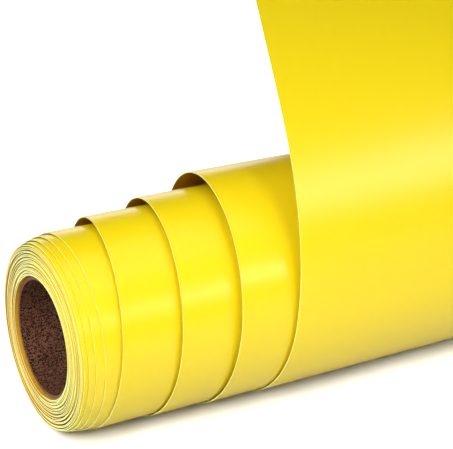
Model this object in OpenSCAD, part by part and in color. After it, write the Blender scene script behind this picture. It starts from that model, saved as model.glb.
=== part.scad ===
// Roll of sign vinyl: a film on a release liner, wound on a spiral-wound paper tube.
// The last turns are let out sideways and the free end is raised as a sheet.
//
// The tube's axis is the X axis, and the origin is the centre of its bore at the near
// end. The web starts on the tube at the bottom and goes up the front (-Y), over the
// top, down the back and under the bottom. Positions along the web are counted in
// turns from its start, with whole turns at the bottom.

/* [Tube] */
// Radius of the tube's bore
bore_r = 16; // [12:0.5:20]
// Thickness of each of the three paper plies
ply_t = 0.3; // [0.2:0.05:0.5]
// How far the tube's end sits behind the first turn's edge
tube_recess = 1; // [0:0.5:3]

/* [Web] */
// Width of the film and its liner
web_w = 305; // [150:5:610]
// Thickness of the film with its adhesive
film_t = 0.1; // [0.06:0.01:0.12]
// Thickness of the release liner
liner_t = 0.14; // [0.08:0.01:0.16]
// Thickness of the tape that holds the start of the web to the tube
tape_t = 0.05; // [0.03:0.01:0.08]
// Length of that tape round the tube, in degrees
tape_arc = 45; // [20:5:90]

/* [Pack] */
// Turns in the wound pack
pack_turns = 18; // [12:1:20]
// Radius of the pack
pack_r = 25.1; // [24.8:0.1:25.5]
// How far the pack's outer turn sits behind its first turn
pack_cone = 0.4; // [0:0.1:1]

/* [Snug turns] */
// Turns that lie snugly on the pack, each set back a little more than the last
snug_turns = 5; // [3:1:6]
// How far the last of them is set back
snug_shift = 8.2; // [4:0.2:12]
// Radius of the last of them
snug_r = 27.4; // [27:0.1:27.8]

/* [Loose turns] */
// Radius of the first loose turn at its top
turn_a_r = 28.5; // [28.2:0.1:28.8]
// Radius of the second loose turn at its top
turn_b_r = 29.9; // [29.6:0.1:30.2]
// Radius of the third loose turn at its top
turn_c_r = 32.4; // [32:0.1:32.8]
// Radius of the web where the free sheet leaves the roll
riser_r = 33.3; // [33:0.1:33.6]
// How far each loose turn is set back from the one before it
turn_pitch = 16.9; // [8:0.1:20]
// How far the front of each loose turn stands out of a true helix
turn_tilt = 2.1; // [0:0.1:3]
// How far the loose turns settle flat where they rest
settle = 0.55; // [0.3:0.05:0.7]

/* [Free sheet] */
// Angle past the bottom at which the sheet leaves the roll
leave_angle = 86; // [80:1:90]
// Lean of the sheet, back from upright, once it has straightened
lean = 33.5; // [20:0.5:45]
// Length over which it reaches that lean
lean_length = 72; // [50:1:90]
// Length of the sheet from the roll to its first bend line
bend_s = 27; // [20:1:40]
// Length of the sheet from the roll to its second bend line, where it begins to curl
curl_s = 110; // [90:5:130]
// Length of the sheet from the roll to its cut end
sheet_s = 225; // [150:5:260]
// How far the cut end curls back beyond the lean, in degrees
curl = 36; // [0:1:50]

/* [Clearances] */
// Gap between stretches of web that move apart
stretch_gap = 0.2; // [0.1:0.05:0.6]
// Gap between stretches of web at a bend line
bend_gap = 0.4; // [0.3:0.1:1.2]
// Gap between snug turns where they are pressed together at the bottom
snug_gap = 0.02; // [0.01:0.01:0.05]
// Gap between loose turns where they rest on each other
loose_gap = 0.08; // [0.05:0.01:0.12]

/* [Hidden] */
TURNS = ["a", "b", "c"];

film_colour = "gold";
liner_colour = "goldenrod";
tube_colour = "sienna";
tape_colour = "lightyellow";

// Stations of the web in each turn, the step between stations along the sheet, and the
// angle between stations along the tape
turn_steps = 36;
sheet_step = 5;
tape_step = 2.5;

web_t = film_t + liner_t;
tube_r = bore_r + 3 * ply_t;
tube_len = web_w - 2 * tube_recess;

// The web's inner face clears the tube where its flats dip between two stations
start_r = (tube_r + tape_t + snug_gap) / cos(180 / turn_steps);

// Where the snug turns, the loose turns and the last part turn begin
snug_n = pack_turns;
loose_n = snug_n + snug_turns;
riser_n = loose_n + len(TURNS);
leave_n = riser_n + leave_angle / 360;

// Depth of the web's inner face below the axis, where each turn rests
snug_depth = pack_r + snug_turns * (web_t + snug_gap);
floor_depth = snug_depth + len(TURNS) * (web_t + loose_gap);

// Radius of the web's inner face at position n
function web_r(n) = lookup(n, [
    [0, start_r],
    [snug_n, pack_r],
    [loose_n, snug_r],
    [loose_n + 0.5, turn_a_r],
    [loose_n + 1.5, turn_b_r],
    [loose_n + 2.5, turn_c_r],
    [leave_n, riser_r]]);

// Depth of the web's inner face below the axis at the bottom, once the web rests on
// what is under it
function web_depth(n) = lookup(n, [
    [snug_n, pack_r],
    [loose_n, snug_depth],
    [riser_n, floor_depth]]);

function web_settle(n) = lookup(n, [[snug_n, 0], [loose_n, settle]]);

// Height of a turn's centre above the axis: the pack is round the tube, the rest hangs
function web_rise(n) = n < snug_n ? 0 : web_r(n) - web_depth(n) - web_settle(n);

// The web's near edge along the axis
function pack_x(n) = -tube_recess + pack_cone * n / pack_turns;
function snug_x(n) = pack_x(snug_n) + snug_shift * pow((n - snug_n) / snug_turns, 2);
function loose_x(n) = snug_x(loose_n) + turn_pitch * (n - loose_n)
    - turn_tilt * sin(360 * (n - loose_n));
function edge_x(n) = n < snug_n ? pack_x(n) : n < loose_n ? snug_x(n) : loose_x(n);

// A station is [x, y, z, heading]: a point of the near edge on the web's inner face,
// and the angle that the web has turned through there
function wound_station(n) =
    let (a = 360 * n, low = n < snug_n ? -pack_r : -web_depth(n))
    [edge_x(n), -web_r(n) * sin(a), max(web_rise(n) - web_r(n) * cos(a), low), a];

function wound(n0, n1, trim = 0) =
    let (steps = ceil((n1 - n0) * turn_steps - 0.01))
    [for (i = [0:steps])
        wound_station(max(n0 + trim, min(n0 + i / turn_steps, n1 - trim)))];

// Heading of the free sheet: it leans back to a steady lean, then curls
function sheet_heading(s) =
    let (leaned = sin(90 * min(s / lean_length, 1)),
         curled = pow(max(s - curl_s, 0) / (sheet_s - curl_s), 2))
    leave_angle + (90 - leave_angle + lean) * leaned + curl * curled;

// Stations along the whole sheet, every sheet_step
helix = turn_pitch / (2 * PI * riser_r);
sheet_path = [for (s = 0, p = wound_station(leave_n); s <= sheet_s;
        s = s + sheet_step,
        p = [p.x + sheet_step * helix,
             p.y - sheet_step * cos(sheet_heading(s - sheet_step / 2)),
             p.z + sheet_step * sin(sheet_heading(s - sheet_step / 2)),
             360 * riser_n + sheet_heading(s)])
    p];

function sheet_station(s) =
    let (i = min(floor(s / sheet_step), len(sheet_path) - 2), f = s / sheet_step - i)
    sheet_path[i] * (1 - f) + sheet_path[i + 1] * f;

function sheet(s0, s1) = [
    sheet_station(s0),
    for (i = [ceil((s0 + 1) / sheet_step):floor((s1 - 1) / sheet_step)]) sheet_path[i],
    sheet_station(s1)];

// A point of the station's web, off its inner face, at the near or the far edge
function web_point(st, off, x) =
    [st.x + x, st.y - off * sin(st[3]), st.z - off * cos(st[3])];

// One layer of the web through the given stations, between two distances from the
// web's inner face
module layer(stations, inner, outer) {
    last = len(stations) - 1;
    points = [for (st = stations)
        each [web_point(st, inner, 0), web_point(st, outer, 0),
              web_point(st, outer, web_w), web_point(st, inner, web_w)]];
    sides = [for (i = [0:last - 1]) for (j = [0:3])
        let (a = 4 * i + j, b = 4 * i + (j + 1) % 4)
        each [[a, a + 4, b + 4], [a, b + 4, b]]];
    ends = [[0, 1, 2], [0, 2, 3],
            [4 * last + 2, 4 * last + 1, 4 * last], [4 * last + 3, 4 * last + 2, 4 * last]];
    polyhedron(points, concat(sides, ends));
}

module liner(stations) {
    color(liner_colour) layer(stations, 0, liner_t);
}

module film(stations) {
    color(film_colour) layer(stations, liner_t, web_t);
}

// Stations of each stretch of the web
loose_trim = stretch_gap / 2 / (2 * PI * riser_r);
pack_web = wound(0, snug_n);
snug_web = wound(snug_n, loose_n);
riser_web = concat(wound(riser_n, leave_n, loose_trim), sheet(sheet_step, bend_s - bend_gap / 2));
lower_web = sheet(bend_s + bend_gap / 2, curl_s - bend_gap / 2);
upper_web = sheet(curl_s + bend_gap / 2, sheet_s);

// Half a loose turn: the front rises from the bottom, the back comes down again
function front(turn) = wound(loose_n + turn, loose_n + turn + 0.5, loose_trim);
function back(turn) = wound(loose_n + turn + 0.5, loose_n + turn + 1, loose_trim);

module ply(inner_r) {
    color(tube_colour)
        rotate([0, 90, 0])
            difference() {
                cylinder(h = tube_len, r = inner_r + ply_t, $fn = 120);
                translate([0, 0, -1]) cylinder(h = tube_len + 2, r = inner_r, $fn = 120);
            }
}

module core_inner_ply() {
    ply(bore_r);
}

module core_middle_ply() {
    ply(bore_r + ply_t);
}

module core_outer_ply() {
    ply(bore_r + 2 * ply_t);
}

// The tape starts at the bottom of the tube and goes up its front, as the web does
module start_tape() {
    // Its flats touch the tube where they dip between two stations
    inner_r = tube_r / cos(tape_step / 2);
    outer_r = inner_r + tape_t;
    color(tape_colour)
        rotate([0, 90, 0])
            linear_extrude(tube_len)
                polygon(concat(
                    [for (a = [0:tape_step:tape_arc]) inner_r * [cos(a), -sin(a)]],
                    [for (a = [tape_arc:-tape_step:0]) outer_r * [cos(a), -sin(a)]]));
}

core_inner_ply();
core_middle_ply();
core_outer_ply();
start_tape();
film(pack_web);  // film_pack
liner(pack_web);  // liner_pack
film(snug_web);  // film_snug_turns
liner(snug_web);  // liner_snug_turns
film(front(0));  // film_turn_a_front
liner(front(0));  // liner_turn_a_front
film(back(0));  // film_turn_a_back
liner(back(0));  // liner_turn_a_back
film(front(1));  // film_turn_b_front
liner(front(1));  // liner_turn_b_front
film(back(1));  // film_turn_b_back
liner(back(1));  // liner_turn_b_back
film(front(2));  // film_turn_c_front
liner(front(2));  // liner_turn_c_front
film(back(2));  // film_turn_c_back
liner(back(2));  // liner_turn_c_back
film(riser_web);  // film_riser
liner(riser_web);  // liner_riser
film(lower_web);  // film_sheet_lower
liner(lower_web);  // liner_sheet_lower
film(upper_web);  // film_sheet_upper
liner(upper_web);  // liner_sheet_upper
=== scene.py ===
"""A roll of sign vinyl: film on a golden release liner, wound on a kraft paper tube.

The web (the film with its liner) starts on the tube at the bottom, goes up the front
(-Y), over the top and down the back. Places along it are counted in turns, with whole
turns at the bottom; along the free sheet they are metres from where it leaves the roll.
"""
import math
from collections import namedtuple

import bpy
from mathutils import Euler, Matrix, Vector


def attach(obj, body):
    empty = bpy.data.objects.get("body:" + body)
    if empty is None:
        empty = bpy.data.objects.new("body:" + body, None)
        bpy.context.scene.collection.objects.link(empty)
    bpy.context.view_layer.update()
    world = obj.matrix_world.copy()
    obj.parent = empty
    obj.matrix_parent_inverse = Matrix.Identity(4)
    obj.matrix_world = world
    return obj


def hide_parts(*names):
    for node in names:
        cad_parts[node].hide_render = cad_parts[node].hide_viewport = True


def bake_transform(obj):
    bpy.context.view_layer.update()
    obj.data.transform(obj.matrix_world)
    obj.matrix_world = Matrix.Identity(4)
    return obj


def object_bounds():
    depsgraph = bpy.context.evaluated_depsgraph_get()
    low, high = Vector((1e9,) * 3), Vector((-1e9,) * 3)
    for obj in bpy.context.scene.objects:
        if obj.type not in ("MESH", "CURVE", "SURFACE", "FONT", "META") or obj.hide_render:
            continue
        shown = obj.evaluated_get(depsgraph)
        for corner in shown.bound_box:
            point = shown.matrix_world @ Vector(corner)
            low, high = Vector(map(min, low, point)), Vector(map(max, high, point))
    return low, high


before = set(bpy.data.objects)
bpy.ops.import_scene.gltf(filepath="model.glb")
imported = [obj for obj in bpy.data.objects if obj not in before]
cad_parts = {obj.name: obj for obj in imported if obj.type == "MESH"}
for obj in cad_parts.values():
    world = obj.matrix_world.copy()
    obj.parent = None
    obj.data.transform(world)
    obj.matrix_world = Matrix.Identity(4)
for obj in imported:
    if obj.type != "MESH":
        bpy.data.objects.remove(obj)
CAD_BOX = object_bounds()

bl_info = {
    "name": "Sign Vinyl Roll",
    "version": (1, 0, 0),
    "blender": (4, 5, 0),
    "location": "View3D > Sidebar > Vinyl Roll",
    "description": "Makes a roll of sign vinyl with stepped turns and a raised free end",
    "category": "Object",
}


# Sizes and colours that a user would change

def length(name, description, default):
    return bpy.props.FloatProperty(
        name=name, description=description, default=default, unit="LENGTH", precision=5)


def angle(name, description, degrees):
    return bpy.props.FloatProperty(
        name=name, description=description, default=math.radians(degrees),
        subtype="ANGLE", unit="ROTATION")


def colour(name, description, default):
    return bpy.props.FloatVectorProperty(
        name=name, description=description, default=default, subtype="COLOR",
        size=3, min=0.0, max=1.0)


def share(name, description, default):
    return bpy.props.FloatProperty(
        name=name, description=description, default=default, subtype="FACTOR",
        min=0.0, max=1.0)


def power(name, description, default):
    return bpy.props.FloatProperty(
        name=name, description=description, default=default, min=0.0, unit="POWER")


class WebSettings(bpy.types.PropertyGroup):
    """The strip of film and liner"""
    width: length("Width", "Width of the film and the liner", 0.305)
    film: length("Film", "Thickness of the film with its adhesive", 0.0001)
    liner: length("Liner", "Thickness of the release liner", 0.00014)
    stray: length("Edge stray", "How far the edges stray in the wound pack", 0.00030)
    rings_per_turn: bpy.props.IntProperty(
        name="Rings per turn", description="Rings of vertices in each turn",
        default=96, min=24)
    sheet_step: length("Sheet step", "Distance between rings along the free sheet", 0.002)


class WindingSettings(bpy.types.PropertyGroup):
    """How the web is wound. Every radius is that of the web's inner face"""
    pack_turns: bpy.props.IntProperty(
        name="Pack turns", description="Turns in the wound pack", default=18, min=4)
    snug_turns: bpy.props.IntProperty(
        name="Snug turns", description="Turns that lie snugly on the pack",
        default=5, min=1)
    tube_recess: length("Tube recess", "How far the tube sits behind the first turn", 0.001)
    pack_cone: length("Pack cone", "How far the pack's last turn is set back", 0.0004)
    snug_shift: length("Snug shift", "How far the last snug turn is set back", 0.0082)
    start_radius: length("Start radius", "Radius where the web starts", 0.01704)
    pack_radius: length("Pack radius", "Radius at the end of the pack", 0.0251)
    snug_radius: length("Snug radius", "Radius of the last snug turn", 0.0274)
    turn_a_radius: length("Turn A radius", "Radius of turn A at its top", 0.0285)
    turn_b_radius: length("Turn B radius", "Radius of turn B at its top", 0.0299)
    turn_c_radius: length("Turn C radius", "Radius of turn C at its top", 0.0324)
    riser_radius: length("Riser radius", "Radius where the sheet leaves the roll", 0.0333)
    snug_depth: length("Snug depth", "Depth of the last snug turn at the bottom", 0.0264)
    floor_depth: length("Floor depth", "Depth of the outer turn at the bottom", 0.02736)
    settle: length("Settle", "How far the loose turns settle flat", 0.00055)
    pitch: length("Pitch", "How far each loose turn is set back", 0.0169)
    tilt: length("Tilt", "How far the front of a loose turn strays", 0.0021)
    pairing: length("Pairing", "How far turns shift to lie in pairs", 0.000075)
    waver: length("Waver", "How far the wound turns waver", 0.000015)
    loosening: share("Loosening", "How much the gaps widen outwards", 0.15)


class SheetSettings(bpy.types.PropertyGroup):
    """The raised free end"""
    leave: angle("Leaving angle", "Angle past the bottom where the sheet leaves", 86)
    lean: angle("Lean", "Lean of the straight part, back from upright", 33.5)
    lean_length: length("Lean length", "Length over which it reaches that lean", 0.072)
    curl_start: length("Curl start", "Length at which the sheet begins to curl", 0.110)
    curl: angle("Curl", "How far the cut end curls back", 36)
    length: length("Length", "Length of the sheet from the roll", 0.225)
    split: length("Split", "Length at which one piece ends and the next begins", 0.060)
    first_bend: length("First bend", "Length of the middle of the first bend", 0.027)
    first_reach: length("First bend's reach", "How far it reaches either way", 0.027)
    second_bend: length("Second bend", "Length of the middle of the second bend", 0.110)
    second_reach: length("Second bend's reach", "How far it reaches either way", 0.040)


class FinishSettings(bpy.types.PropertyGroup):
    """Colours and finishes"""
    film: colour("Film", "Colour of the vinyl film", (0.71, 0.54, 0.004))
    film_deep: colour("Film, deep", "Colour of the film where it is thickest",
                      (0.705, 0.535, 0.004))
    # The film edge's pale colour is a painted highlight along the cut edge
    film_edge: colour("Film edge", "Colour of the film's cut edge", (0.98, 1.0, 0.40))
    liner: colour("Liner", "Colour of the glassine liner", (0.62, 0.33, 0.012))
    liner_dark: colour("Liner, dark", "Colour of the liner between its fibres",
                       (0.46, 0.22, 0.006))
    # The liner edge's pale colour is partly its paler cut paper and partly a painted
    # highlight along the cut edge
    liner_edge: colour("Liner edge", "Colour of the liner's cut edge", (0.98, 1.0, 0.38))
    kraft: colour("Kraft", "Colour of the tube's paper", (0.19, 0.078, 0.042))
    kraft_dark: colour("Kraft, dark", "Colour of the pits in the paper",
                       (0.010, 0.003, 0.001))
    kraft_cut: colour("Kraft, cut", "Colour of the tube's cut end", (0.22, 0.10, 0.05))
    tape: colour("Tape", "Colour of the start tape", (0.80, 0.72, 0.50))
    film_roughness: share("Film roughness", "Roughness of the film's face", 0.27)


class StageSettings(bpy.types.PropertyGroup):
    """Floor, lights and camera"""
    azimuth: angle("Azimuth", "Direction of view, from +Y towards -X", -30.78)
    elevation: angle("Elevation", "Height of view above the horizon", 20.06)
    distance: length("Distance", "Distance from the camera to what it looks at", 0.4157)
    target: bpy.props.FloatVectorProperty(
        name="Target", description="What the camera looks at", size=3,
        subtype="XYZ", unit="LENGTH", default=(0.0577, 0.0, 0.0218))
    lens: bpy.props.FloatProperty(
        name="Lens", description="Focal length for a 36 mm wide sensor",
        default=116.2, unit="CAMERA")
    floor: colour("Floor", "Colour of the floor", (0.92, 0.92, 0.92))
    floor_bounce: colour("Floor bounce", "Colour that the floor gives to what is near it",
                         (0.45, 0.45, 0.44))
    sky: bpy.props.FloatProperty(
        name="Ambient", description="Strength of the even light all round",
        default=0.01, min=0.0)
    overhead: power("Overhead light", "Power of the large soft box overhead", 1.2)
    left: power("Left light", "Power of the soft box up on the left", 1.2)
    front: power("Front light", "Power of the low soft box at the front right", 0.62)
    strip: power("Strip light", "Power of the strip light up at the front", 0.067)
    near_strip: power("Near strip light", "Power of the lower strip light", 0.04)
    end: power("Near end light", "Power of the small soft box at the near end", 0.20)
    back: power("Back light", "Power of the soft box behind", 0.9)
    far: power("Far end light", "Power of the soft box at the far end", 1.2)
    floor_light: power("Floor light", "Power of the light that falls on the floor only",
                       185.0)


# The web's course

Ring = namedtuple("Ring", "x y z ny nz along")


def between(value, *stops):
    """The value of a line through the stops, which are (place, value) pairs."""
    if value <= stops[0][0]:
        return stops[0][1]
    for (a, low), (b, high) in zip(stops, stops[1:]):
        if value <= b:
            return low + (high - low) * (value - a) / (b - a)
    return stops[-1][1]


class Web:
    """Where the web runs, from the settings of the scene."""

    def __init__(self, scene):
        self.strip = scene.vinyl_web
        self.wind = scene.vinyl_winding
        self.free = scene.vinyl_sheet
        self.thickness = self.strip.film + self.strip.liner
        self.snug = self.wind.pack_turns
        self.loose = self.snug + self.wind.snug_turns
        self.riser = self.loose + 3
        self.leave = self.riser + math.degrees(self.free.leave) / 360

    def packed_radius(self, n):
        """Radius in the pack, where turns lie in pairs and the gaps widen outwards."""
        wind = self.wind
        u = n / wind.pack_turns
        grown = (1 - wind.loosening) * u + wind.loosening * u * u
        even = wind.start_radius + (wind.pack_radius - wind.start_radius) * grown
        paired = wind.pairing * math.sin(math.pi * n + math.pi / 4)
        waver = wind.waver * math.sin(2 * math.pi * n / 3.13 + 0.7)
        ease = min(1.0, n / 1.5) * min(1.0, (wind.pack_turns - n) / 1.5)
        return even + (paired + waver) * ease * (0.6 + 0.9 * u)

    def radius(self, n):
        """Radius of the web's inner face, n turns from its start."""
        wind = self.wind
        if n < self.snug:
            return self.packed_radius(n)
        return between(
            n, (self.snug, wind.pack_radius), (self.loose, wind.snug_radius),
            (self.loose + 0.5, wind.turn_a_radius),
            (self.loose + 1.5, wind.turn_b_radius),
            (self.loose + 2.5, wind.turn_c_radius), (self.leave, wind.riser_radius))

    def edge(self, n):
        """X of the web's near edge."""
        wind = self.wind
        pack = -wind.tube_recess + wind.pack_cone * min(n / wind.pack_turns, 1)
        stray = (math.sin(2.3 * n) + 0.6 * math.sin(5.1 * n + 1)) / 1.6
        pack += self.strip.stray * stray * min(1.0, abs(self.snug - n) / 2)
        if n < self.snug:
            return pack
        pack = wind.pack_cone - wind.tube_recess
        snug = pack + wind.snug_shift * min((n - self.snug) / wind.snug_turns, 1) ** 2
        if n < self.loose:
            return snug
        out = n - self.loose
        return snug + wind.pitch * out - wind.tilt * math.sin(2 * math.pi * out)

    def place(self, n):
        """(x, y, z) of the near edge of the web's inner face, n turns from its start."""
        wind = self.wind
        r = self.radius(n)
        turned = 2 * math.pi * n
        y = -r * math.sin(turned)
        z = -r * math.cos(turned)
        if n >= self.snug:
            depth = between(
                n, (self.snug, wind.pack_radius), (self.loose, wind.snug_depth),
                (self.riser, wind.floor_depth))
            settle = between(n, (self.snug, 0.0), (self.loose, wind.settle))
            z += r - depth - settle
            # The flat foot eases into the round over a short way
            soft = 0.00006
            height = (z + depth) / soft
            if height < 20:
                z = soft * math.log(math.exp(height) + 1) - depth
        return Vector((self.edge(n), y, z))

    def course(self, start, end):
        """Rings of the web from one place in the roll to another, in turns."""
        rings = []
        close = 0.002
        count = max(4, round((end - start) * self.strip.rings_per_turn))
        for i in range(count + 1):
            n = start + (end - start) * i / count
            here = self.place(n)
            ahead = self.place(n + close) - self.place(n - close)
            size = math.hypot(ahead.y, ahead.z)
            ny = -ahead.z / size
            nz = ahead.y / size
            along = 2 * math.pi * n * self.radius(n)
            rings.append(Ring(here.x, here.y, here.z, ny, nz, along))
        return rings

    def heading(self, s):
        """Angle the free sheet has turned through, s metres from the roll."""
        free = self.free
        leaned = math.sin(math.pi / 2 * min(s / free.lean_length, 1))
        curled = max(s - free.curl_start, 0) / (free.length - free.curl_start)
        upright = math.pi / 2 - free.leave
        return free.leave + (upright + free.lean) * leaned + free.curl * curled ** 2

    def sheet(self, start, end):
        """Rings of the free sheet between two lengths from where it leaves the roll."""
        wind = self.wind
        here = self.place(self.leave)
        drift = wind.pitch / (2 * math.pi * wind.riser_radius)
        base = 2 * math.pi * self.leave * wind.riser_radius
        fine = 0.0005
        steps = round(self.free.length / fine)
        every = round(self.strip.sheet_step / fine)
        rings = []
        for i in range(steps + 1):
            s = i * fine
            inside = start - fine / 2 <= s <= end + fine / 2
            if inside and (round((s - start) / fine) % every == 0 or i == steps):
                h = self.heading(s)
                rings.append(Ring(here.x, here.y, here.z, -math.sin(h), -math.cos(h),
                                  base + s))
            h = self.heading(s + fine / 2)
            here = here + fine * Vector((drift, -math.cos(h), math.sin(h)))
        return rings

    def bend(self, middle, reach):
        """Where a bend of the free sheet starts and ends, seen from the roll's end."""
        rings = self.sheet(middle - reach, middle + reach)
        first = Vector((0, rings[0].y, rings[0].z))
        last = Vector((0, rings[-1].y, rings[-1].z))
        return first, last


# Meshes

def strip_mesh(name, rings, inner, outer, width):
    """A closed thin strip through the rings, between two distances off the inner face.

    Its faces are one material and its cut edges and ends are the next."""
    points = []
    for r in rings:
        for off, across in ((inner, 0), (outer, 0), (outer, width), (inner, width)):
            points.append((r.x + across, r.y + off * r.ny, r.z + off * r.nz))
    faces = []
    sides = []
    last = len(rings) - 1
    for i in range(last):
        a = 4 * i
        b = a + 4
        faces += [(a + 1, a + 2, b + 2, b + 1), (a, b, b + 3, a + 3),
                  (a, a + 1, b + 1, b), (a + 3, b + 3, b + 2, a + 2)]
        sides += ["outer", "inner", "near", "far"]
    end = 4 * last
    faces += [(0, 3, 2, 1), (end, end + 1, end + 2, end + 3)]
    sides += ["start", "end"]
    mesh = bpy.data.meshes.new(name)
    mesh.from_pydata(points, [], faces)
    mesh.polygons.foreach_set("use_smooth", [True] * len(faces))
    edge_slot = [0 if side in ("outer", "inner") else 1 for side in sides]
    mesh.polygons.foreach_set("material_index", edge_slot)
    unrolled = mesh.uv_layers.new(name="unrolled")
    normals = []
    for face, side in zip(mesh.polygons, sides):
        for loop in face.loop_indices:
            vertex = mesh.loops[loop].vertex_index
            r = rings[vertex // 4]
            unrolled.data[loop].uv = (mesh.vertices[vertex].co.x - r.x, r.along)
            normals.append({
                "outer": (0, r.ny, r.nz), "inner": (0, -r.ny, -r.nz),
                "near": (-1, 0, 0), "far": (1, 0, 0),
                "start": (0, -r.nz, r.ny), "end": (0, r.nz, -r.ny)}[side])
    mesh.normals_split_custom_set(normals)
    mesh.update()
    return mesh


def add_piece(name, mesh, materials, nodes):
    """An object with its materials, standing for CAD nodes."""
    piece = bpy.data.objects.new(name, mesh)
    bpy.context.scene.collection.objects.link(piece)
    for material in materials:
        mesh.materials.append(material)
    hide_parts(*nodes)
    return piece


def add_web(name, rings, film_nodes, liner_nodes):
    """The film and the liner of one stretch of the web, as two pieces."""
    web = Web(bpy.context.scene)
    pieces = []
    layers = (
        ("film_" + name, web.strip.liner, web.thickness, film_nodes, "vinyl_film",
         [film_face(), film_cut()]),
        ("liner_" + name, 0.0, web.strip.liner, liner_nodes, "release_liner",
         [liner_face(), liner_cut()]))
    for title, inner, outer, nodes, slot, materials in layers:
        mesh = strip_mesh(title, rings, inner, outer, web.strip.width)
        piece = add_piece(title, mesh, materials, nodes)
        pieces.append(piece)
    return pieces


# Shader node groups

def new_group(name, inputs, outputs):
    """An empty shader group. Its sockets are (name, type, default) and (name, type)."""
    group = bpy.data.node_groups.new(name, "ShaderNodeTree")
    for title, kind, default in inputs:
        socket = group.interface.new_socket(title, in_out="INPUT", socket_type=kind)
        if default is not None:
            socket.default_value = default
    for title, kind in outputs:
        group.interface.new_socket(title, in_out="OUTPUT", socket_type=kind)
    return group


def feed(tree, made, name, value):
    """Sets or links one input, which is found by its name or number."""
    socket = made.inputs[int(name)] if name.isdigit() else made.inputs[name]
    if isinstance(value, bpy.types.NodeSocket):
        tree.links.new(value, socket)
    elif hasattr(value, "__len__") and len(value) == 3 and len(socket.default_value) == 4:
        socket.default_value = (*value, 1.0)
    else:
        socket.default_value = value


def maths(tree, operation, first, second=0.0):
    """The result of a maths node on two values or sockets."""
    made = tree.nodes.new("ShaderNodeMath")
    made.operation = operation
    feed(tree, made, "0", first)
    feed(tree, made, "1", second)
    return made.outputs[0]


def remap(tree, value, low, high, to_low=0.0, to_high=1.0):
    """A value moved from one range to another, and kept inside it."""
    made = tree.nodes.new("ShaderNodeMapRange")
    for i, v in enumerate((value, low, high, to_low, to_high)):
        feed(tree, made, str(i), v)
    return made.outputs[0]


def blend_colours(tree, mask, first, second):
    """The first colour where the mask is 0, and the second where it is 1."""
    made = tree.nodes.new("ShaderNodeMix")
    made.data_type = "RGBA"
    feed(tree, made, "0", mask)
    feed(tree, made, "6", first)
    feed(tree, made, "7", second)
    return made.outputs[2]


def noise(tree, vector, scale, detail=2.0, roughness=0.5):
    """A noise between 0 and 1."""
    made = tree.nodes.new("ShaderNodeTexNoise")
    feed(tree, made, "Vector", vector)
    feed(tree, made, "Scale", scale)
    feed(tree, made, "Detail", detail)
    feed(tree, made, "Roughness", roughness)
    return made.outputs[0]


def stretched(tree, vector, factors):
    """The vector times a factor for each axis."""
    made = tree.nodes.new("ShaderNodeVectorMath")
    made.operation = "MULTIPLY"
    feed(tree, made, "0", vector)
    feed(tree, made, "1", factors)
    return made.outputs[0]


def calender_group():
    """Fine orange peel and long faint rolling marks, as on calendered film."""
    name = "Calender finish"
    if name in bpy.data.node_groups:
        return bpy.data.node_groups[name]
    group = new_group(name, [
        ("Vector", "NodeSocketVector", None),
        ("Peel Scale", "NodeSocketFloat", 900.0),
        ("Roll Marks", "NodeSocketFloat", 0.25),
    ], [("Height", "NodeSocketFloat"), ("Marks", "NodeSocketFloat")])
    inside = group.nodes.new("NodeGroupInput")
    out = group.nodes.new("NodeGroupOutput")
    peel = noise(group, inside.outputs["Vector"], inside.outputs["Peel Scale"], 3.0, 0.55)
    long_way = stretched(group, inside.outputs["Vector"], (1.0, 0.04, 1.0))
    marks = noise(group, long_way, 260.0, 3.0, 0.6)
    height = maths(group, "ADD", peel,
                   maths(group, "MULTIPLY", marks, inside.outputs["Roll Marks"]))
    group.links.new(height, out.inputs["Height"])
    group.links.new(marks, out.inputs["Marks"])
    return group


def fibre_group():
    """Paper fibres that lie mostly one way, with specks."""
    name = "Paper fibre"
    if name in bpy.data.node_groups:
        return bpy.data.node_groups[name]
    group = new_group(name, [
        ("Vector", "NodeSocketVector", None),
        ("Scale", "NodeSocketFloat", 1200.0),
        ("Contrast", "NodeSocketFloat", 1.0),
        ("Specks", "NodeSocketFloat", 0.5),
    ], [("Fibre", "NodeSocketFloat"), ("Height", "NodeSocketFloat")])
    inside = group.nodes.new("NodeGroupInput")
    out = group.nodes.new("NodeGroupOutput")
    vector = inside.outputs["Vector"]
    one = noise(group, stretched(group, vector, (1.0, 0.35, 0.6)),
                inside.outputs["Scale"], 4.0, 0.65)
    two = noise(group, stretched(group, vector, (0.4, 1.0, 1.0)),
                maths(group, "MULTIPLY", inside.outputs["Scale"], 1.7), 2.0, 0.5)
    specks = noise(group, vector, maths(group, "MULTIPLY", inside.outputs["Scale"], 2.6),
                   1.0, 0.5)
    felt = maths(group, "MULTIPLY", maths(group, "ADD", one, two), 0.5)
    felt = maths(group, "ADD", felt, maths(
        group, "MULTIPLY", maths(group, "SUBTRACT", specks, 0.5), inside.outputs["Specks"]))
    sharp = maths(group, "MULTIPLY", maths(group, "SUBTRACT", felt, 0.5),
                  maths(group, "MULTIPLY", inside.outputs["Contrast"], 3.0))
    fibre = group.nodes.new("ShaderNodeClamp")
    group.links.new(maths(group, "ADD", sharp, 0.5), fibre.inputs[0])
    group.links.new(fibre.outputs[0], out.inputs["Fibre"])
    group.links.new(felt, out.inputs["Height"])
    return group


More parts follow.
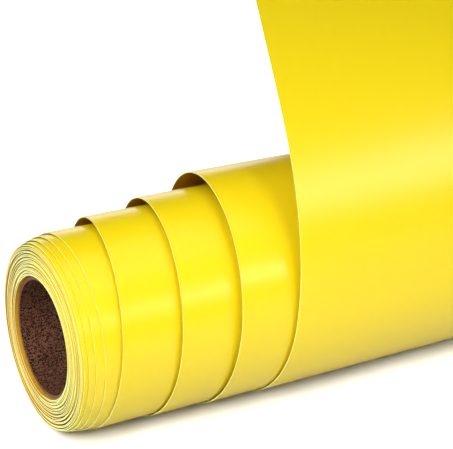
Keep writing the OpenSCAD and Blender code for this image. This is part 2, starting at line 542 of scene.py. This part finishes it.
def handling_group():
    """Where hands and shelves have dulled a surface: broad smears and a few scuffs."""
    name = "Handling marks"
    if name in bpy.data.node_groups:
        return bpy.data.node_groups[name]
    group = new_group(name, [
        ("Vector", "NodeSocketVector", None),
        ("Scale", "NodeSocketFloat", 22.0),
        ("Amount", "NodeSocketFloat", 0.5),
    ], [("Mask", "NodeSocketFloat")])
    inside = group.nodes.new("NodeGroupInput")
    out = group.nodes.new("NodeGroupOutput")
    broad = noise(group, inside.outputs["Vector"], inside.outputs["Scale"], 3.0, 0.5)
    fine = noise(group, stretched(group, inside.outputs["Vector"], (1.0, 0.2, 0.5)),
                 maths(group, "MULTIPLY", inside.outputs["Scale"], 14.0), 4.0, 0.7)
    smear = remap(group, broad, 0.42, 0.68)
    scuff = remap(group, fine, 0.62, 0.72)
    both = maths(group, "MAXIMUM", smear, maths(group, "MULTIPLY", scuff, 0.6))
    group.links.new(maths(group, "MULTIPLY", both, inside.outputs["Amount"]),
                    out.inputs["Mask"])
    return group


# Materials

def new_material(name):
    """A new material, its node tree and its Principled shader."""
    material = bpy.data.materials.new(name)
    material.use_nodes = True
    return material, material.node_tree, material.node_tree.nodes["Principled BSDF"]


def unrolled_vector(tree):
    """Places on the unrolled web, in metres across and along."""
    made = tree.nodes.new("ShaderNodeUVMap")
    made.uv_map = "unrolled"
    return made.outputs[0]


def object_vector(tree):
    """Places in the piece's own space, in metres."""
    return tree.nodes.new("ShaderNodeTexCoord").outputs["Object"]


def use_group(tree, group, **inputs):
    """A group placed in a material, with its inputs set or linked by name."""
    made = tree.nodes.new("ShaderNodeGroup")
    made.node_tree = group
    for key, value in inputs.items():
        feed(tree, made, key.replace("_", " "), value)
    return made


def bump(tree, shader, height, strength, distance):
    """Gives a shader's surface a relief."""
    made = tree.nodes.new("ShaderNodeBump")
    made.inputs["Strength"].default_value = strength
    made.inputs["Distance"].default_value = distance
    tree.links.new(height, made.inputs["Height"])
    tree.links.new(made.outputs[0], shader.inputs["Normal"])


def film_face():
    """Satin calendered vinyl: even colour, fine orange peel, faint roll marks."""
    if "vinyl film" in bpy.data.materials:
        return bpy.data.materials["vinyl film"]
    look = bpy.context.scene.vinyl_finish
    material, tree, shader = new_material("vinyl film")
    vector = unrolled_vector(tree)
    finish = use_group(tree, calender_group(), Vector=vector)
    tone = remap(tree, finish.outputs["Marks"], 0.35, 0.65)
    body = blend_colours(tree, tone, look.film, look.film_deep)
    tree.links.new(body, shader.inputs["Base Color"])
    shader.inputs["Roughness"].default_value = look.film_roughness
    bump(tree, shader, finish.outputs["Height"], 0.05, 0.00002)
    shader.inputs["IOR"].default_value = 1.48
    return material


def cut_edge(name, pale, body):
    """A knife-cut edge, paler than the face: the pale colour is a painted highlight along
    the edge, on the liner also its paler cut paper, with a faint drag of the blade.
    """
    if name in bpy.data.materials:
        return bpy.data.materials[name]
    material, tree, shader = new_material(name)
    vector = unrolled_vector(tree)
    drag = use_group(tree, calender_group(), Vector=vector, Peel_Scale=2200.0)
    mask = remap(tree, drag.outputs["Marks"], 0.5, 1.2)
    # pale is the edge's painted highlight colour, broken up by the blade's drag marks
    tree.links.new(blend_colours(tree, mask, pale, body), shader.inputs["Base Color"])
    shader.inputs["Roughness"].default_value = 0.55
    bump(tree, shader, drag.outputs["Height"], 0.2, 0.00003)
    return material


def film_cut():
    """The film's cut edge, painted pale as a highlight."""
    look = bpy.context.scene.vinyl_finish
    return cut_edge("vinyl film, cut edge", look.film_edge, look.film)


def liner_cut():
    """The liner's cut edge: paler cut paper and a painted highlight."""
    look = bpy.context.scene.vinyl_finish
    return cut_edge("release liner, cut edge", look.liner_edge, look.liner)


def liner_face():
    """Golden glassine: smooth dense paper with a low sheen and cloudy fibres."""
    if "release liner" in bpy.data.materials:
        return bpy.data.materials["release liner"]
    look = bpy.context.scene.vinyl_finish
    material, tree, shader = new_material("release liner")
    vector = unrolled_vector(tree)
    paper = use_group(tree, fibre_group(), Vector=vector, Scale=700.0, Contrast=0.6,
                      Specks=0.2)
    marks = use_group(tree, handling_group(), Vector=vector, Amount=0.4)
    body = blend_colours(tree, paper.outputs["Fibre"], look.liner_dark, look.liner)
    tree.links.new(body, shader.inputs["Base Color"])
    rough = maths(tree, "ADD", maths(tree, "MULTIPLY", marks.outputs["Mask"], 0.12), 0.42)
    tree.links.new(rough, shader.inputs["Roughness"])
    bump(tree, shader, paper.outputs["Height"], 0.15, 0.00004)
    return material


def kraft_paper():
    """Recycled kraft board: short dark and light fibres, and a paler cut end."""
    if "kraft board" in bpy.data.materials:
        return bpy.data.materials["kraft board"]
    look = bpy.context.scene.vinyl_finish
    material, tree, shader = new_material("kraft board")
    vector = object_vector(tree)
    paper = use_group(tree, fibre_group(), Vector=vector, Scale=1250.0, Contrast=4.5,
                      Specks=1.4)
    body = blend_colours(tree, paper.outputs["Fibre"], look.kraft_dark, look.kraft)
    facing = tree.nodes.new("ShaderNodeSeparateXYZ")
    own = tree.nodes.new("ShaderNodeTexCoord")
    tree.links.new(own.outputs["Normal"], facing.inputs[0])
    cut = remap(tree, maths(tree, "ABSOLUTE", facing.outputs["X"]), 0.5, 0.9)
    body = blend_colours(tree, cut, body, look.kraft_cut)
    marks = use_group(tree, handling_group(), Vector=vector, Amount=0.3, Scale=60.0)
    tree.links.new(blend_colours(tree, marks.outputs["Mask"], body, look.kraft_dark),
                   shader.inputs["Base Color"])
    shader.inputs["Roughness"].default_value = 0.85
    shader.inputs["Specular IOR Level"].default_value = 0.15
    bump(tree, shader, paper.outputs["Height"], 0.6, 0.00015)
    return material


def paper_tape():
    """Double-sided paper tape under the first turn."""
    if "paper tape" in bpy.data.materials:
        return bpy.data.materials["paper tape"]
    look = bpy.context.scene.vinyl_finish
    material, tree, shader = new_material("paper tape")
    vector = object_vector(tree)
    paper = use_group(tree, fibre_group(), Vector=vector, Scale=1500.0, Contrast=0.4)
    body = blend_colours(tree, paper.outputs["Fibre"], look.kraft, look.tape)
    tree.links.new(body, shader.inputs["Base Color"])
    shader.inputs["Roughness"].default_value = 0.6
    bump(tree, shader, paper.outputs["Height"], 0.3, 0.00004)
    return material


# Operators, one for each piece or group of like pieces

class VINYL_OT_tube(bpy.types.Operator):
    """Gives the three plies of the kraft tube their board"""
    bl_idname = "vinyl_roll.tube"
    bl_label = "Kraft Tube"

    def execute(self, context):
        for name in ("core_inner_ply", "core_middle_ply", "core_outer_ply"):
            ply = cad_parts[name]
            ply.data.materials.clear()
            ply.data.materials.append(kraft_paper())
        return {"FINISHED"}


class VINYL_OT_start_tape(bpy.types.Operator):
    """Gives the start tape its paper"""
    bl_idname = "vinyl_roll.start_tape"
    bl_label = "Start Tape"

    def execute(self, context):
        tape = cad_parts["start_tape"]
        tape.data.materials.clear()
        tape.data.materials.append(paper_tape())
        return {"FINISHED"}


class VINYL_OT_pack(bpy.types.Operator):
    """Makes the wound pack of film and liner"""
    bl_idname = "vinyl_roll.pack"
    bl_label = "Wound Pack"

    def execute(self, context):
        web = Web(context.scene)
        rings = web.course(0, web.snug)
        for piece in add_web("pack_turns", rings, ["film_pack"], ["liner_pack"]):
            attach(piece, "roll")
        return {"FINISHED"}


class VINYL_OT_snug_turns(bpy.types.Operator):
    """Makes the turns that lie snugly on the pack, each a step further back"""
    bl_idname = "vinyl_roll.snug_turns"
    bl_label = "Snug Turns"

    def execute(self, context):
        web = Web(context.scene)
        rings = web.course(web.snug, web.loose)
        for piece in add_web("stepped_turns", rings, ["film_snug_turns"],
                             ["liner_snug_turns"]):
            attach(piece, "roll")
        return {"FINISHED"}


class VINYL_OT_loose_turns(bpy.types.Operator):
    """Makes the three loose turns, in half turns"""
    bl_idname = "vinyl_roll.loose_turns"
    bl_label = "Loose Turns"

    def execute(self, context):
        web = Web(context.scene)
        bodies = ["turn_a_back", "turn_b_front", "turn_b_back", "turn_c_front",
                  "turn_c_back", "riser"]
        for i, after in enumerate(bodies):
            half = "turn_%s_%s" % ("abc"[i // 2], "back" if i % 2 else "front")
            rings = web.course(web.loose + i / 2, web.loose + i / 2 + 0.5)
            pair = add_web("half_" + half, rings, ["film_" + half], ["liner_" + half])
            for piece in pair:
                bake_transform(piece)
        return {"FINISHED"}


class VINYL_OT_riser(bpy.types.Operator):
    """Makes the outer turn and the foot of the free sheet, across the first bend"""
    bl_idname = "vinyl_roll.riser"
    bl_label = "Riser"

    def execute(self, context):
        web = Web(context.scene)
        free = web.free
        rings = web.course(web.riser, web.leave)[:-1] + web.sheet(0, free.split)
        start, end = web.bend(free.first_bend, free.first_reach)
        for piece in add_web("foot_of_sheet", rings, ["film_riser"], ["liner_riser"]):
            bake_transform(piece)
        return {"FINISHED"}


class VINYL_OT_free_sheet(bpy.types.Operator):
    """Makes the raised free sheet, across the second bend to its cut end"""
    bl_idname = "vinyl_roll.free_sheet"
    bl_label = "Free Sheet"

    def execute(self, context):
        web = Web(context.scene)
        free = web.free
        rings = web.sheet(free.split, free.length)
        start, end = web.bend(free.second_bend, free.second_reach)
        for piece in add_web("raised_sheet", rings,
                             ["film_sheet_lower", "film_sheet_upper"],
                             ["liner_sheet_lower", "liner_sheet_upper"]):
            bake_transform(piece)
        return {"FINISHED"}


# Each soft box: its name, the setting with its power, where it is, what it faces,
# its width and height in metres, and how wide it spreads in degrees
Lamp = namedtuple("Lamp", "name power place aim size spread")
LAMPS = (
    Lamp("overhead light", "overhead", (0.12, -0.10, 0.75), (0.10, 0.0, 0.0),
         (0.8, 0.6), 180),
    Lamp("left light", "left", (-0.20, -0.05, 0.60), (0.05, 0.0, 0.0),
         (0.4, 0.4), 180),
    Lamp("front light", "front", (0.45, -0.42, 0.22), (0.12, -0.03, 0.04),
         (0.36, 0.12), 180),
    Lamp("strip light", "strip", (0.10, -0.30, 0.50), (0.07, -0.03, -0.02),
         (0.5, 0.05), 20),
    Lamp("near strip light", "near_strip", (0.17, -0.42, 0.22), (0.12, -0.02, 0.02),
         (0.4, 0.1), 50),
    Lamp("near end light", "end", (-0.30, -0.30, 0.30), (0.05, 0.0, -0.02),
         (0.3, 0.2), 30),
    Lamp("back light", "back", (0.10, 0.70, 0.12), (0.10, 0.0, 0.05),
         (0.8, 0.2), 180),
    Lamp("far end light", "far", (0.95, 0.35, 0.12), (0.30, 0.0, 0.0),
         (0.4, 0.2), 180),
    Lamp("floor light", "floor_light", (0.0, 0.0, 2.0), (0.0, 0.0, 0.0),
         (6.0, 6.0), 180),
)


def soft_light(lamp, watts):
    """A rectangular soft light that faces a point, and that the camera doesn't see."""
    data = bpy.data.lights.new(lamp.name, "AREA")
    data.shape = "RECTANGLE"
    data.size, data.size_y = lamp.size
    data.energy = watts
    data.spread = math.radians(lamp.spread)
    box = bpy.data.objects.new(lamp.name, data)
    box.visible_camera = False
    box.location = lamp.place
    facing = Vector(lamp.aim) - Vector(lamp.place)
    box.rotation_euler = facing.to_track_quat("-Z", "Y").to_euler()
    bpy.context.scene.collection.objects.link(box)


class VINYL_OT_stage(bpy.types.Operator):
    """Makes the pale floor, the soft studio light and the camera"""
    bl_idname = "vinyl_roll.stage"
    bl_label = "Stage"

    def execute(self, context):
        stage = context.scene.vinyl_stage
        self.add_floor(stage)
        self.add_lights(stage)
        self.add_camera(context, stage)
        world = bpy.data.worlds.new("studio")
        world.use_nodes = True
        tree = world.node_tree
        seen = tree.nodes.new("ShaderNodeLightPath").outputs["Is Camera Ray"]
        pale = maths(tree, "MAXIMUM", seen, stage.sky)
        tree.links.new(pale, tree.nodes["Background"].inputs["Strength"])
        tree.nodes["Background"].inputs["Color"].default_value = (1, 1, 1, 1)
        context.scene.world = world
        context.scene.view_settings.view_transform = "Standard"
        return {"FINISHED"}

    def add_floor(self, stage):
        level = CAD_BOX[0].z - 0.00002
        half = 2.5
        mesh = bpy.data.meshes.new("floor")
        corners = [(-half, -half, level), (half, -half, level), (half, half, level),
                   (-half, half, level)]
        mesh.from_pydata(corners, [], [(0, 1, 2, 3)])
        floor = bpy.data.objects.new("floor", mesh)
        material, tree, shader = new_material("floor paint")
        shader.inputs["Roughness"].default_value = 0.7
        seen = tree.nodes.new("ShaderNodeLightPath").outputs["Is Camera Ray"]
        tree.links.new(blend_colours(tree, seen, stage.floor_bounce, stage.floor),
                       shader.inputs["Base Color"])
        mesh.materials.append(material)
        bpy.context.scene.collection.objects.link(floor)

    def add_lights(self, stage):
        for lamp in LAMPS:
            soft_light(lamp, getattr(stage, lamp.power))
        lit = bpy.data.collections.new("lit by the floor light")
        lit.objects.link(bpy.data.objects["floor"])
        bpy.data.objects["floor light"].light_linking.receiver_collection = lit

    def add_camera(self, context, stage):
        data = bpy.data.cameras.new("camera")
        data.sensor_width = 36.0
        data.lens = stage.lens
        data.clip_start = 0.01
        data.clip_end = 20.0
        camera = bpy.data.objects.new("camera", data)
        look = Vector((-math.sin(stage.azimuth) * math.cos(stage.elevation),
                       math.cos(stage.azimuth) * math.cos(stage.elevation),
                       -math.sin(stage.elevation)))
        camera.location = Vector(stage.target) - look * stage.distance
        camera.rotation_euler = Euler((math.pi / 2 - stage.elevation, 0, stage.azimuth))
        context.scene.collection.objects.link(camera)
        context.scene.camera = camera


STEPS = (VINYL_OT_tube, VINYL_OT_start_tape, VINYL_OT_pack, VINYL_OT_snug_turns,
         VINYL_OT_loose_turns, VINYL_OT_riser, VINYL_OT_free_sheet, VINYL_OT_stage)
SETTINGS = (("vinyl_web", WebSettings), ("vinyl_winding", WindingSettings),
            ("vinyl_sheet", SheetSettings), ("vinyl_finish", FinishSettings),
            ("vinyl_stage", StageSettings))


class VINYL_PT_roll(bpy.types.Panel):
    """Lists the pieces of the roll in the order they are made"""
    bl_idname = "VINYL_PT_roll"
    bl_label = "Vinyl Roll"
    bl_space_type = "VIEW_3D"
    bl_region_type = "UI"
    bl_category = "Vinyl Roll"

    def draw(self, context):
        for step in STEPS:
            self.layout.operator(step.bl_idname)
        for name, kind in SETTINGS:
            group = getattr(context.scene, name)
            box = self.layout.box()
            for setting in kind.__annotations__:
                box.prop(group, setting)


def register():
    for name, kind in SETTINGS:
        bpy.utils.register_class(kind)
        setattr(bpy.types.Scene, name, bpy.props.PointerProperty(type=kind))
    for kind in STEPS:
        bpy.utils.register_class(kind)
    bpy.utils.register_class(VINYL_PT_roll)


def unregister():
    bpy.utils.unregister_class(VINYL_PT_roll)
    for kind in reversed(STEPS):
        bpy.utils.unregister_class(kind)
    for name, kind in reversed(SETTINGS):
        delattr(bpy.types.Scene, name)
        bpy.utils.unregister_class(kind)


def main():
    """Registers the add-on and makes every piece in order."""
    register()
    for step in STEPS:
        family, name = step.bl_idname.split(".")
        getattr(getattr(bpy.ops, family), name)()
    bpy.context.view_layer.update()


if __name__ == "__main__":
    main()
